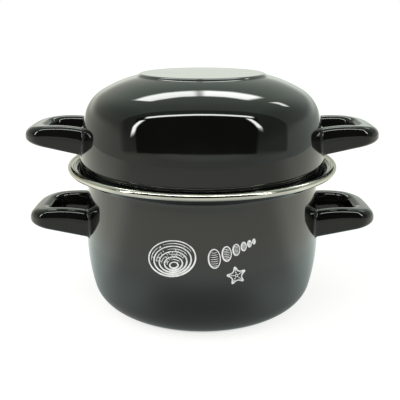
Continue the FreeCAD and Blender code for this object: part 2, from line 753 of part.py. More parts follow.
lean = size("lid_handle_tilt")
closer = size("lid_handle_in")
handles = [
    handle("pot_handle_right", pot_filled, 0, size("pot_handle_up")),
    handle("pot_handle_left", pot_filled, 180, size("pot_handle_up")),
    handle("lid_handle_right", lid_filled, 0, size("lid_handle_z"), lean, closer),
    handle("lid_handle_left", lid_filled, 180, size("lid_handle_z"), lean, closer),
]
marks = doc.addObject("Part::Feature", "print_marks")
marks.Shape = print_marks()
ground = doc.addObject("App::Link", "print_ground")
ground.LinkedObject = pot_filled
ground.setExpression("Placement.Base.y", (NOTHING - size("print_thick")).words)
print_depth = doc.addObject("Part::Common", "print_depth")
print_depth.Base = marks
print_depth.Tool = ground
belly_print = doc.addObject("Part::Cut", "belly_print")
belly_print.Base = print_depth
belly_print.Tool = pot_filled
doc.recompute()


def check(thing):
    """Stops the build where an object or its shape is at fault."""
    if "Invalid" in thing.State or "Error" in thing.State:
        raise RuntimeError(f"{thing.Name} can't be worked out")
    if thing.isDerivedFrom("Part::Feature") and thing.Shape.isNull():
        raise RuntimeError(f"{thing.Name} is empty")


for thing in doc.Objects:
    if not thing.isDerivedFrom("App::OriginFeature") and not thing.isDerivedFrom("App::Origin"):
        check(thing)
if hollow.Shape.Volume <= core.Shape.Volume or form.Shape.Volume >= skin.Shape.Volume:
    raise RuntimeError("the handles aren't hollow")
for piece in [pot_body, rim_trim, lid_shell, belly_print] + handles:
    piece.Label = piece.Name
    if not piece.Shape.isValid() or piece.Shape.Volume <= 0:
        raise RuntimeError(f"{piece.Label} isn't a sound solid")
    piece.Shape.exportStep(f"parts/{piece.Label}.step")
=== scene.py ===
import math

import bpy
import numpy as np
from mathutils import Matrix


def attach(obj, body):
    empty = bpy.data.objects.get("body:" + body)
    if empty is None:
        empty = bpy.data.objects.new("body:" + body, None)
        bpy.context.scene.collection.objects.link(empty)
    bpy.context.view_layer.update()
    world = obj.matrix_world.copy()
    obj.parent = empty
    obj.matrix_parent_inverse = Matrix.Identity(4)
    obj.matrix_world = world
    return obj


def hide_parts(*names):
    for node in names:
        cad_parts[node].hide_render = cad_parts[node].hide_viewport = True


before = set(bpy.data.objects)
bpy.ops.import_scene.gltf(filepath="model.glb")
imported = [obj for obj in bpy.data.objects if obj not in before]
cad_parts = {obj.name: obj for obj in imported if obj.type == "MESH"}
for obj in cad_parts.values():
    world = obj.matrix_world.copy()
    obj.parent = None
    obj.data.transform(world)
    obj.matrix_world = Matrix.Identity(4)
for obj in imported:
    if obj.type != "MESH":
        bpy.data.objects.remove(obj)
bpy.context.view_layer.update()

# Sizes of the pot in millimetres and degrees, the same as in the part's source
rim_across = 250.0
trim_tall = 6.0
trim_foot = 1.0
trim_gauge = 0.6
steel = 1.2
base_to_rim = 132.5
belly_inset = 14.1
belly_height = 65.7
lower_bow = 202.0
upper_bow = 360.0
base_corner = 26.0
neck_turn = 3.0
shoulder_slope = 30.0
cup_corner = 3.0
cup_wall = 0.9
edge_turn = 1.0
trim_play = 0.4
lid_play = 0.7
lid_seat = 0.1
lip_flare = 12.0
lid_wall = 5.0
lid_bow = 135.0
lid_rise = 83.2
lid_shoulder = 34.3
dome_bow = 114.3
dome_drop = 13.4
top_across = 109.6
top_edge = 5.0
step_slope = 42.0
step_turn = 6.0
handle_past_rim = 38.1
handle_gauge = 1.2
handle_wide = 83.0
handle_limb = 17.5
handle_bar = 20.5
handle_lean = 5.6
handle_tall = 22.9
nose_tall = 10.8
nose_up = 11.4
handle_crown = 140.0
nose_round = 165.0
nose_corner = 22.5
hole_corner = 10.0
under_edge = 3.4
handle_turn_in = 5.6
lid_handle_tilt = 1.7
lid_handle_in = 0.9
pot_handle_up = 68.3
lid_handle_up = 8.7
print_line = 1.0
clam_out = 24.5
clam_up = 77.0
clam_across = 40.0
clam_tall = 31.0
clam_tilt = 16.0
clam_crowding = 8.5
turret_out = 24.0
turret_up = 83.0
turret_long = 42.0
turret_wide = 17.0
turret_tilt = 20.0
whorl_shrink = 0.78
whorl_fill = 0.88
whorl_lean = 74.0
star_out = 28.0
star_up = 62.0
star_across = 19.0
star_notch = 0.42
star_tilt = 11.0

# Finer shapes: the fillet at a handle's root, the arch over its section, and the lines of the drawing
weld_round = 2.0
weld_spread = 1.1
weld_depth = 0.35
weld_steps = 8
arch_wide = 8.0
arch_tall = 14.0
arch_share = 0.66
arch_power = 2.3
print_ink = 0.12
print_edge_ink = 0.01
growth_lines = 5
growth_hatches = 46
whorls = 6
whorl_ribs = 7
star_arms = 5
star_cuts = 3
star_cut = 0.22
star_dots = (0.12, 0.3, 0.46, 0.6, 0.72)

# Sizes that follow from them
rim_r = rim_across / 2
belly_r = rim_r - belly_inset
bead_r = trim_tall / 2
bead_mid = rim_r - bead_r
foot_top = steel / 2 + trim_gauge
foot_outer = bead_mid - math.sqrt(bead_r ** 2 - foot_top ** 2)
foot_inner = foot_outer - trim_foot
edge_r = rim_r - trim_gauge - trim_play
edge_under = base_to_rim - steel / 2
cup_r = foot_inner - edge_turn
corner_r = cup_r - cup_corner
corner_z = edge_under - edge_turn - cup_wall
lip_r = cup_r - steel - lid_play
lip_out = (lip_r - corner_r) * math.sin(math.radians(shoulder_slope))
lip_z = corner_z + (lip_out - cup_corner + steel + lid_seat) / math.cos(math.radians(shoulder_slope))
lid_top = base_to_rim + lid_rise
top_r = top_across / 2
nose_x = rim_r + handle_past_rim
nose_mid = nose_x - nose_round
hole_end = nose_x - handle_bar
root_x = belly_r - handle_limb
root_y = handle_wide / 2
crown_run = nose_x - root_x
crown_fall = handle_tall - nose_up - nose_tall
crown_chord = math.hypot(crown_run, crown_fall)
crown_deep = math.sqrt(handle_crown ** 2 - crown_chord ** 2 / 4)
crown_x = root_x + crown_run / 2 - crown_deep * crown_fall / crown_chord
crown_sink = crown_deep * crown_run / crown_chord - handle_tall + crown_fall / 2
lid_handle_z = base_to_rim + lid_handle_up

# The room that the enamel mirrors: soft-edged fields on a wall behind, one ahead and one that leans over
wall_lean = 0.48
room_windows = (
    ("behind", -0.7, -0.05, 1.2, 1.64, 0.06, 0.07, 9.5),
    ("behind", 0.0, 0.57, 1.2, 1.64, 0.05, 0.07, 10.5),
    ("behind", 1.0, 1.6, 1.36, 1.62, 0.06, 0.1, 9.0),
    ("leaning", -1.12, 0.95, 1.12, 1.23, 0.08, 0.03, 20.0),
    ("ahead", -2.66, -2.22, 0.7, 2.0, 0.12, 0.12, 21.0),
    ("ahead", 1.44, 1.7, 0.74, 2.0, 0.07, 0.12, 21.0),
)
pale_low_back = ("behind", -0.3, 0.3, -0.5, 0.4, 0.1, 0.1, 0.08)
dark_room = ("leaning", -1.6, 1.08, 0.131, 1.28, 0.08, 0.012, 0.92)
dim_beside_room = ("leaning", -3.6, 6.0, 0.131, 1.7, 1.2, 0.08, 0.6)

# The camera, fitted to the photograph: pixels, metres and degrees
photo_wide = 400
focal_length = 620.3
image_shift = -2.2
film_wide = 36.0
view_away = 0.575
view_above_rim = 0.1344
view_down = 16.71


def point_at(centre, angle, distance):
    """The point at a distance from a centre, in the direction of an angle in degrees."""
    turn = math.radians(angle)
    return (centre[0] + distance * math.cos(turn), centre[1] + distance * math.sin(turn))


def angle_to(start, end):
    """Direction from one point to another in degrees."""
    return math.degrees(math.atan2(end[1] - start[1], end[0] - start[0]))


def arc(centre, radius, start, end, count):
    """Points of an arc, centre + radius * (cos, sin), and their normals to the right of travel."""
    turn = np.radians(np.linspace(start, end, count))
    out = np.stack([np.cos(turn), np.sin(turn)], 1)
    side = 1.0 if end > start else -1.0
    return np.array(centre) + radius * out, side * out


def run(start, end, count):
    """Points of a straight run and their normals, to the right of travel."""
    start = np.array(start, float)
    end = np.array(end, float)
    share = np.linspace(0, 1, count)[:, None]
    along = (end - start) / np.linalg.norm(end - start)
    return start + (end - start) * share, np.tile([along[1], -along[0]], (count, 1))


def chained(parts):
    """One outline from several runs and arcs that meet end to end."""
    points = [parts[0][0]] + [part[0][1:] for part in parts[1:]]
    normals = [parts[0][1]] + [part[1][1:] for part in parts[1:]]
    return np.concatenate(points), np.concatenate(normals)


def pot_outline():
    """Outside of the pot from the middle of its base to its turned-out edge, with normals."""
    slope = shoulder_slope
    lower = (belly_r - lower_bow, belly_height)
    upper = (belly_r - upper_bow, belly_height)
    reach = lower_bow - base_corner
    base = (lower[0] + math.sqrt(reach ** 2 - (base_corner - belly_height) ** 2), base_corner)
    low_angle = angle_to(lower, base)
    corner = (corner_r, corner_z)
    shoulder_end = point_at(corner, slope - 90, cup_corner)
    far = point_at(shoulder_end, slope - 90, neck_turn)
    gap = (far[0] - upper[0], far[1] - upper[1])
    along = gap[0] * math.cos(math.radians(slope)) + gap[1] * math.sin(math.radians(slope))
    limit = upper_bow + neck_turn
    back = along - math.sqrt(along ** 2 - gap[0] ** 2 - gap[1] ** 2 + limit ** 2)
    neck = point_at(far, slope, -back)
    neck_angle = angle_to(upper, neck)
    edge = (cup_r + edge_turn, edge_under - edge_turn)
    return chained([
        run((0, 0), (base[0], 0), 10),
        arc(base, base_corner, -90, low_angle, 36),
        arc(lower, lower_bow, low_angle, 0, 30),
        arc(upper, upper_bow, 0, neck_angle, 30),
        arc(neck, neck_turn, neck_angle + 180, slope + 90, 12),
        run(point_at(neck, slope + 90, neck_turn), shoulder_end, 8),
        arc(corner, cup_corner, slope - 90, 0, 12),
        run((cup_r, corner[1]), (cup_r, edge[1]), 3),
        arc(edge, edge_turn, 180, 90, 8),
        run((edge[0], edge_under), (edge_r, edge_under), 4),
    ])


def lid_outline():
    """Outside of the lid from its flared lip to the middle of its flat top, with normals."""
    slope = shoulder_slope
    flare = point_at((lip_r, lip_z), slope, lip_flare)
    wall_foot = (flare[0] - lip_flare, flare[1])
    wall_head = (wall_foot[0], wall_foot[1] + lid_wall)
    side = (wall_head[0] - lid_bow, wall_head[1])
    drop = 90 - dome_drop
    steep = 90 - step_slope
    rounding = (top_r, lid_top - top_edge)
    step = point_at(rounding, steep, top_edge + step_turn)
    dome = point_at(step, drop, -step_turn - dome_bow)
    gap = math.dist(side, dome)
    near = lid_bow - lid_shoulder
    along = (near ** 2 - (dome_bow - lid_shoulder) ** 2 + gap ** 2) / (2 * gap)
    way = angle_to(side, dome)
    shoulder = point_at(point_at(side, way, along), way + 90, math.sqrt(near ** 2 - along ** 2))
    side_angle = angle_to(side, shoulder)
    round_angle = angle_to(dome, shoulder)
    return chained([
        arc(flare, lip_flare, slope + 180, 180, 16),
        run(wall_foot, wall_head, 5),
        arc(side, lid_bow, 0, side_angle, 30),
        arc(shoulder, lid_shoulder, side_angle, round_angle, 44),
        arc(dome, dome_bow, round_angle, drop, 26),
        arc(step, step_turn, drop + 180, steep + 180, 14),
        arc(rounding, top_edge, steep, 90, 14),
        run((rounding[0], lid_top), (0, lid_top), 10),
    ])


def wall_radius(outline, level):
    """Distance of a wall from the axis at a height, read off its outline."""
    order = np.argsort(outline[0][:, 1])
    return np.interp(level, outline[0][order, 1], outline[0][order, 0])


def put_in(name, points, faces, material, node_names):
    """A mesh piece in metres that rides with the pot and stands for its solids."""
    mesh = bpy.data.meshes.new(name)
    mesh.from_pydata((points / 1000).tolist(), [], faces)
    mesh.materials.append(material)
    mesh.polygons.foreach_set("use_smooth", np.ones(len(mesh.polygons), bool))
    mesh.update()
    piece = bpy.data.objects.new(name, mesh)
    bpy.context.scene.collection.objects.link(piece)
    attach(piece, "root")
    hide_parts(*node_names)
    return piece


def quads(rows, columns, wrap_rows=False, wrap_columns=False):
    """Four-sided faces over a grid of points, row by row, with either way closed on itself."""
    i = np.arange(rows if wrap_rows else rows - 1)
    j = np.arange(columns if wrap_columns else columns - 1)
    i, j = np.meshgrid(i, j, indexing="ij")
    next_i = (i + 1) % rows
    next_j = (j + 1) % columns
    corners = [i * columns + j, i * columns + next_j, next_i * columns + next_j, next_i * columns + j]
    return np.stack([c.ravel() for c in corners], 1)


def turned(name, section, material, node_names, around=288):
    """A section turned round the axis: (r cos a, r sin a, z) for a full circle of a.

    A section that starts and ends on the axis is closed there by two fans.
    """
    section = np.asarray(section)
    from_axis = section[0, 0] < 1e-6
    rings = section[1:-1] if from_axis else section
    turn = np.linspace(0, 2 * np.pi, around, endpoint=False)
    r = rings[:, 0][:, None]
    z = np.broadcast_to(rings[:, 1][:, None], (len(rings), around))
    points = np.stack([r * np.cos(turn), r * np.sin(turn), z], -1).reshape(-1, 3)
    faces = quads(len(rings), around, wrap_rows=not from_axis, wrap_columns=True).tolist()
    if from_axis:
        start = len(points)
        points = np.concatenate([points, [[0, 0, section[0, 1]], [0, 0, section[-1, 1]]]])
        j = np.arange(around)
        next_j = (j + 1) % around
        last = (len(rings) - 1) * around
        faces += np.stack([np.full(around, start), next_j, j], 1).tolist()
        faces += np.stack([np.full(around, start + 1), last + j, last + next_j], 1).tolist()
    return put_in(name, points, faces, material, node_names)


def sheet_section(points, normals, rounded_start=False):
    """A sheet of even thickness under an outline: out along it, back along the inside.

    A rounded start is a half circle over the thickness of the sheet.
    """
    inside = points - normals * steel
    if not rounded_start:
        return np.concatenate([points, inside[::-1]])
    along = np.array([-normals[0, 1], normals[0, 0]])
    half = steel / 2
    centre = points[0] + (along - normals[0]) * half
    turn = np.radians(np.linspace(0, 180, 9))[:, None]
    nose = centre + half * (np.cos(turn) * normals[0] - np.sin(turn) * along)
    clear_of_nose = 1.2 * half
    keep = np.linalg.norm(points - points[0], axis=1) > clear_of_nose
    return np.concatenate([inside[keep][::-1], nose[::-1], points[keep]])


def trim_section():
    """The strip of the trim: a round bead whose two feet close on the edge of the pot."""
    middle = (bead_mid, base_to_rim)
    hollow = bead_r - trim_gauge
    mouth = bead_mid - math.sqrt(hollow ** 2 - steel ** 2 / 4)
    outer = angle_to(middle, (foot_outer, base_to_rim + foot_top))
    inner = angle_to(middle, (mouth, base_to_rim + steel / 2))
    bead = arc(middle, bead_r, -outer, outer, 56)[0]
    bore = arc(middle, hollow, inner, -inner, 40)[0]
    soft = trim_gauge / 2
    foot = foot_inner + soft
    high_end = arc((foot, base_to_rim + foot_top - soft), soft, 90, 270, 7)[0]
    low_end = arc((foot, base_to_rim - foot_top + soft), soft, 90, 270, 7)[0]
    return np.concatenate([bead, high_end, bore, low_end])


def handle_section():
    """Recipe of a handle's section: share across, shift across, share up, shift up, and its facing.

    A point is (share across * width + shift, bottom + share up * height + shift). The loop runs over
    the outside from one turned-in edge to the other and back along the inside of the steel. Each upper
    corner is a quarter of |x / a| ** n + |z / b| ** n = 1, with b a share of the height, so the sides
    draw in towards the top. Each lower corner is a quarter circle.
    """
    r = under_edge
    g = handle_gauge
    power = 2 / arch_power
    upper_points = 15
    lower_points = 8
    bend = np.radians(np.linspace(0, 90, upper_points))
    turn = np.radians(np.linspace(-90, -180, lower_points))
    left_outer = [(handle_turn_in, 0, 0, 0, -1)]
    left_inner = [(handle_turn_in, 0, g, 0, 1)]
    for c, s in zip(np.cos(turn), np.sin(turn)):
        left_outer.append((r + r * c, 0, r + r * s, c, s))
        left_inner.append((r + (r - g) * c, 0, r + (r - g) * s, -c, -s))
    for c, s in zip(np.cos(bend), np.sin(bend)):
        aside = 1 - c ** power
        below = 1 - s ** power
        lean = np.array([-(c ** (2 - power)) / arch_wide, s ** (2 - power) / arch_tall])
        lean /= np.linalg.norm(lean)
        left_outer.append((arch_wide * aside, 1 - arch_share * below, 0, *lean))
        left_inner.append((g + (arch_wide - g) * aside, 1 - arch_share * below, -g + g * below, *-lean))
    sides = []
    for left in (left_outer, left_inner):
        left = np.insert(np.array(left), 0, 0, axis=1)
        right = left[::-1] * np.array([1, -1, 1, 1, -1, 1])
        right[:, 0] = 1
        sides.append(denser(np.concatenate([left, right]), count=6))
    loop = np.concatenate([sides[0], sides[1][::-1]])
    return loop[:, :4], loop[:, 4:], np.arange(len(loop)) < len(sides[0])


def denser(recipe, count):
    """More points on the long runs of a section, at even shares between their ends."""
    long_share = 0.2
    rows = [recipe[:1]]
    for a, b in zip(recipe[:-1], recipe[1:]):
        long_run = abs(a[0] - b[0]) + abs(a[2] - b[2]) > long_share
        share = np.linspace(0, 1, count if long_run else 2)[1:, None]
        rows.append(a + (b - a) * share)
    return np.concatenate(rows)


def handle_plan():
    """Outer and inner edge of one half of a handle seen from above, from its limb's end to the nose.

    Row by row a straight ruling joins the two edges, round the corner and along the nose.
    """
    lean = math.radians(handle_lean)
    track = point_at((root_x, root_y), -handle_lean - 90, nose_corner)
    gap = (track[0] - nose_mid, track[1])
    along = gap[0] * math.cos(-lean) + gap[1] * math.sin(-lean)
    limit = nose_round - nose_corner
    forward = math.sqrt(along ** 2 - gap[0] ** 2 - gap[1] ** 2 + limit ** 2) - along
    corner = point_at(track, -handle_lean, forward)
    nose_angle = angle_to((nose_mid, 0), corner)
    inner_y = root_y - handle_limb / math.cos(lean)
    hole_x = hole_end - hole_corner
    hole_line = inner_y - (hole_x - root_x) * math.tan(lean)
    hole = (hole_x, hole_line - hole_corner / math.cos(lean))
    corner_rows = 30
    nose_rows = 12
    outer_corner = arc(corner, nose_corner, 90 - handle_lean, nose_angle, corner_rows)[0]
    inner_corner = arc(hole, hole_corner, 90 - handle_lean, 0, corner_rows)[0]
    outer_nose = arc((nose_mid, 0), nose_round, nose_angle, 0, nose_rows)[0][1:]
    inner_nose = run(inner_corner[-1], (hole_end, 0), nose_rows)[0][1:]
    return np.concatenate([outer_corner, outer_nose]), np.concatenate([inner_corner, inner_nose])


def handle(name, outline, side, height, tilt, shift, material):
    """A hollow pressed loop: its section is carried from the wall round the nose and back to the wall.

    The top is an arc along the handle, the underside a straight slope. At the wall each line of the
    section is drawn on to the wall and spreads there in a quarter circle, as enamel fills a corner.
    """
    search_rounds = 30
    limb_rows = 25
    recipe, facing, outside = handle_section()
    outer, inner = handle_plan()
    width = np.linalg.norm(outer - inner, axis=1)[:, None]
    distance = recipe[:, 0] * width + recipe[:, 1]
    nose = inner[:, None] + ((outer - inner) / width)[:, None] * distance[..., None]
    back = np.array(point_at((0, 0), 180 - handle_lean, 1))
    lean = math.radians(tilt)

    def raised(flat):
        """Height by the section's recipe, then the tilt, the place along the wall and the height."""
        x = flat[..., 0]
        low = nose_up * (x - root_x) / crown_run
        high = np.sqrt(handle_crown ** 2 - (x - crown_x) ** 2) - crown_sink
        z = low + recipe[:, 2] * (high - low) + recipe[:, 3]
        out = x * math.cos(lean) - z * math.sin(lean) - shift
        up = x * math.sin(lean) + z * math.cos(lean) + height
        return np.stack([out, flat[..., 1], up], -1)

    travel = np.zeros(len(recipe))
    for _ in range(search_rounds):
        spot = raised(nose[0] + back * travel[:, None])
        travel = travel + np.hypot(spot[:, 0], spot[:, 1]) - wall_radius(outline, spot[:, 2])
    meet = raised(nose[0] + back * travel[:, None])
    share = np.linspace(1, 0, limb_rows + 1)[:-1, None, None]
    limb = raised(nose[0] + back * (travel - weld_round)[:, None] * share)

    rings = [(weld_spread * weld_round, -weld_depth)]
    for angle in np.linspace(0, math.pi / 2, weld_steps + 1)[:-1]:
        rings.append((weld_round * (1 - math.sin(angle)), weld_round * (1 - math.cos(angle))))
    weld = []
    for spread, rise in rings:
        y = meet[:, 1] + facing[:, 0] * spread * outside
        z = meet[:, 2] + facing[:, 1] * spread * outside
        reach = wall_radius(outline, z) + np.where(outside, rise, -weld_depth)
        weld.append(np.stack([np.sqrt(reach ** 2 - y ** 2), y, z], -1))

    half = np.concatenate([np.array(weld), limb, raised(nose)])
    grid = np.concatenate([half, half[::-1][1:] * np.array([1, -1, 1])])
    grid = grid[:, ::-1] * np.array([side, side, 1])
    rows, columns = grid.shape[:2]
    faces = quads(rows, columns, wrap_columns=True).tolist()
    faces.append(list(range(columns)))
    faces.append(list(range((rows - 1) * columns, rows * columns))[::-1])
    return put_in(name + "_pressed", grid.reshape(-1, 3), faces, material, [name])


def oval(middle, long, wide, tilt, start=0.0, end=360.0, count=96):
    """Points of an oval, or of a stretch of it, turned by its tilt: (long/2 cos, wide/2 sin)."""
    turn = np.radians(np.linspace(start, end, count))
    lean = math.radians(tilt)
    x = long / 2 * np.cos(turn)
    z = wide / 2 * np.sin(turn)
    return np.stack([middle[0] + x * math.cos(lean) - z * math.sin(lean),
                     middle[1] + x * math.sin(lean) + z * math.cos(lean)], 1)


def stroke(path, width, swell=0.0):
    """One line of the print: left edge, crest and right edge along a path, pointed where it is open.

    With t going from 0 to 1 along it, a closed line is width * (1 + swell * sin(2 pi t)) wide, and an
    open one width * (tip + (1 - tip) * sqrt(sin(pi t))).
    """
    tip = 0.1
    crest = 0.4
    end_share = 0.002
    closed = np.linalg.norm(path[0] - path[-1]) < 1e-6
    share = np.linspace(0, 1, len(path))
    if closed:
        step = np.roll(path[:-1], -1, axis=0) - np.roll(path[:-1], 1, axis=0)
        step = np.concatenate([step, step[:1]])
        wide = width * (1 + swell * np.sin(2 * np.pi * share))
    else:
        step = np.gradient(path, axis=0)
        fullness = np.sqrt(np.sin(np.pi * np.clip(share, end_share, 1 - end_share)))
        wide = width * (tip + (1 - tip) * fullness)
    step = step / np.linalg.norm(step, axis=1)[:, None]
    left = np.stack([-step[:, 1], step[:, 0]], 1) * wide[:, None] / 2
    return np.stack([path + left, path + left * crest, path - left * crest, path - left], 1)


def clam_strokes():
    """A clam: growth lines that crowd towards its hinge, and short hatches at random between them.

    Half-way between two whole growth lines lie two broken ones, each from one angle to another.
    """
    broken_lines = ((12, 96, 50, 0.6), (118, 172, 40, 0.55))
    least_broken = 0.2

    def growth(share, inset=0.0):
        """Place and size of the growth line that has this share of the clam's size."""
        towards_hinge = (1 - share) * (clam_tall / 2 - clam_crowding)
        middle = point_at((-clam_out, clam_up), clam_tilt - 90, towards_hinge)
        return middle, share * clam_across - inset, share * clam_tall - inset, clam_tilt

    strokes = []
    for step in np.arange(0, growth_lines, 0.5):
        share = 1 - step / growth_lines
        line = growth(share, print_line)
        if step == int(step):
            strokes.append(stroke(oval(*line), print_line * 1.15, swell=-0.3))
        elif share > least_broken:
            for start, end, count, thick in broken_lines:
                strokes.append(stroke(oval(*line, start, end, count), print_line * thick))
    rng = np.random.default_rng(7)
    for _ in range(growth_hatches):
        share = rng.uniform(0.35, 0.95)
        angle = rng.uniform(20, 165)
        reach = rng.uniform(0.05, 0.09)
        start, end = (oval(*growth(part), angle, angle, 1)[0] for part in (share - reach, share))
        strokes.append(stroke(start + (end - start) * np.linspace(0, 1, 8)[:, None], print_line * 0.5))
    return strokes


def turret_strokes():
    """A turret shell: a row of leaning whorls, each smaller than the last, with fine ribs across."""
    ribbed_share = 0.66
    rib_tall = 0.62
    rib_wide = 0.1
    strokes = []
    total = sum(whorl_shrink ** step for step in range(whorls))
    place = point_at((turret_out, turret_up), turret_tilt, -turret_long / 2)
    lean = turret_tilt + whorl_lean
    for step in range(whorls):
        deep = turret_long / total * whorl_shrink ** step
        wide = turret_wide * whorl_shrink ** step
        thick = deep * whorl_fill
        centre = point_at(place, turret_tilt, deep / 2)
        whorl = oval(centre, wide - print_line, thick - print_line, lean)
        strokes.append(stroke(whorl, print_line, swell=0.25))
        for rib in np.linspace(-ribbed_share, ribbed_share, whorl_ribs):
            spot = point_at(centre, lean, rib * wide / 2)
            tall = thick * math.sqrt(1 - rib ** 2) * rib_tall
            curve = oval(spot, tall, deep * rib_wide, lean + 90, start=8, end=172, count=12)
            strokes.append(stroke(curve, print_line * 0.5))
        place = point_at(place, turret_tilt, deep)
    return strokes


def star_strokes():
    """A starfish: an outline whose corners are cut again and again, and dots along its arms."""
    centre = (star_out, star_up)
    tips = star_across / 2
    corners = []
    for step in range(2 * star_arms):
        reach = tips if step % 2 == 0 else tips * star_notch
        corners.append(point_at(centre, 90 + star_tilt + 180 / star_arms * step, reach - print_line / 2))
    corners = np.array(corners)
    for _ in range(star_cuts):
        side = np.roll(corners, -1, axis=0) - corners
        cut = [corners + side * star_cut, corners + side * (1 - star_cut)]
        corners = np.stack(cut, 1).reshape(-1, 2)
    strokes = [stroke(np.concatenate([corners, corners[:1]]), print_line)]
    for arm in range(star_arms):
        for along in star_dots:
            spot = point_at(centre, 90 + star_tilt + 360 / star_arms * arm, tips * along)
            dot = oval(spot, long=0.7, wide=0.5, tilt=0, count=9)
            strokes.append(stroke(dot, print_line * 0.55))
    return strokes


def belly_print(outline, material):
    """The drawing laid on the belly: y = -sqrt((wall radius + ink)^2 - x^2), with a low crest of ink."""
    ink = np.array([print_edge_ink, print_ink, print_ink, print_edge_ink])
    points = []
    faces = []
    count = 0
    for grid in clam_strokes() + turret_strokes() + star_strokes():
        r = wall_radius(outline, grid[..., 1]) + ink
        y = -np.sqrt(r ** 2 - grid[..., 0] ** 2)
        points.append(np.stack([grid[..., 0], y, grid[..., 1]], -1).reshape(-1, 3))
        faces += (quads(*grid.shape[:2]) + count).tolist()
        count += grid.shape[0] * grid.shape[1]
    points = np.concatenate(points)
    return put_in("belly_print_lines", points, faces, material, ["belly_print"])


class Tree:
    """A node tree with short ways to add a node, set its sockets and link them."""

    def __init__(self, tree):
        self.tree = tree

    def add(self, kind, _out=0, _set=None, **sockets):
        """A new node. Sockets are given by name, or by n and their number, as values or as links."""
        made = self.tree.nodes.new(kind)
        for name, value in (_set or {}).items():
            setattr(made, name, value)
        for name, value in sockets.items():
            key = int(name[1:]) if name[0] == "n" and name[1:].isdigit() else name.replace("_", " ")
            self.put(made.inputs[key], value)
        return made if _out is None else made.outputs[_out]

    def put(self, socket, value):
        """Link a value that comes from a socket, or set any other."""
        if isinstance(value, bpy.types.NodeSocket):
            self.tree.links.new(value, socket)
        else:
            socket.default_value = value

    def math(self, operation, *values):
        return self.add("ShaderNodeMath", _set={"operation": operation},
                        **{f"n{number}": value for number, value in enumerate(values)})

    def plus(self, first, second):
        return self.math("ADD", first, second)

    def minus(self, first, second):
        return self.math("SUBTRACT", first, second)

    def times(self, first, second):
        return self.math("MULTIPLY", first, second)

    def over(self, first, second):
        return self.math("DIVIDE", first, second)

    def at_least(self, value, limit):
        return self.math("MAXIMUM", value, limit)

    def ramp(self, value, low, high, to_low=0.0, to_high=1.0):
        """A smooth change from to_low to to_high, while the value goes from low to high."""
        return self.add("ShaderNodeMapRange", _set={"interpolation_type": "SMOOTHSTEP"},
                        n0=value, n1=low, n2=high, n3=to_low, n4=to_high)

    def blend(self, share, first, second):
        """A colour between the first, at share 0, and the second, at share 1."""
        return self.add("ShaderNodeMix", _out=2, _set={"data_type": "RGBA"}, n0=share,
                        n6=as_colour(first), n7=as_colour(second))


def as_colour(value):
    """A colour with its fourth number, or a link as it is."""
    return (*value, 1) if isinstance(value, tuple) else value


def new_group(name, inputs, outputs):
    """An empty shader node group with named inputs and outputs."""
    tree = bpy.data.node_groups.new(name, "ShaderNodeTree")
    for label, kind, value in inputs:
        socket = tree.interface.new_socket(label, in_out="INPUT", socket_type=kind)
        if value is not None:
            socket.default_value = value
    for label, kind in outputs:
        tree.interface.new_socket(label, in_out="OUTPUT", socket_type=kind)
    return Tree(tree), tree.nodes.new("NodeGroupInput").outputs, tree.nodes.new("NodeGroupOutput").inputs


def glass_enamel_group():
    """Fired enamel: slow waves of the flowed glass, fine pits, faint clouds of colour and of gloss."""
    build, given, wanted = new_group(
        "glass_enamel",
        [("Place", "NodeSocketVector", None), ("Wave Size", "NodeSocketFloat", 60.0),
         ("Wave Height", "NodeSocketFloat", 1.0), ("Dark", "NodeSocketColor", (0.01, 0.01, 0.01, 1)),
         ("Light", "NodeSocketColor", (0.02, 0.02, 0.02, 1)), ("Gloss", "NodeSocketFloat", 0.06)],
        [("Color", "NodeSocketColor"), ("Roughness", "NodeSocketFloat"), ("Height", "NodeSocketFloat")])
    place = given["Place"]
    waves = build.add("ShaderNodeTexNoise", Vector=place, Scale=given["Wave Size"], Detail=1.5,
                      Roughness=0.4)
    grain = build.add("ShaderNodeTexNoise", Vector=place, Scale=900.0, Detail=2.0)
    cells = build.add("ShaderNodeTexVoronoi", Vector=place, Scale=420.0)
    pick = build.add("ShaderNodeTexNoise", Vector=place, Scale=55.0, Detail=0.0)
    pits = build.times(build.ramp(cells, 0.03, 0.09, 1.0, 0.0), build.ramp(pick, 0.62, 0.7))
    clouds = build.add("ShaderNodeTexNoise", Vector=place, Scale=14.0, Detail=4.0, Roughness=0.55)
    build.put(wanted["Color"], build.blend(build.ramp(clouds, 0.35, 0.7), given["Dark"], given["Light"]))
    cloudy = build.plus(given["Gloss"], build.times(build.ramp(clouds, 0.4, 0.75), 0.03))
    build.put(wanted["Roughness"], build.plus(cloudy, build.times(pits, 0.25)))
    height = build.times(waves, given["Wave Height"])
    height = build.plus(height, build.times(grain, 0.006))
    build.put(wanted["Height"], build.minus(height, build.times(pits, 0.05)))
    return build.tree


def new_material(name):
    """A material with its node tree, its shader and the place on the piece."""
    material = bpy.data.materials.new(name)
    material.use_nodes = True
    build = Tree(material.node_tree)
    shader = material.node_tree.nodes["Principled BSDF"]
    place = build.add("ShaderNodeTexCoord", _out="Object")
    return material, build, shader, place


def enamel(name, group, wave_size, wave_height, gloss, shine):
    """Black glossy enamel over steel: the shared look of fired enamel at this piece's own values."""
    black = (0.0028, 0.0028, 0.0026, 1)
    paler_black = (0.0042, 0.0044, 0.004, 1)
    material, build, shader, place = new_material(name)
    look = build.add("ShaderNodeGroup", _out=None, _set={"node_tree": group}, Place=place,
                     Wave_Size=wave_size, Wave_Height=wave_height, Dark=black, Light=paler_black,
                     Gloss=gloss)
    bump = build.add("ShaderNodeBump", Strength=1.0, Distance=0.0001, Height=look.outputs["Height"])
    build.put(shader.inputs["Base Color"], look.outputs["Color"])
    build.put(shader.inputs["Roughness"], look.outputs["Roughness"])
    build.put(shader.inputs["Normal"], bump)
    shader.inputs["IOR"].default_value = 1.5
    shader.inputs["Specular IOR Level"].default_value = shine
    return material


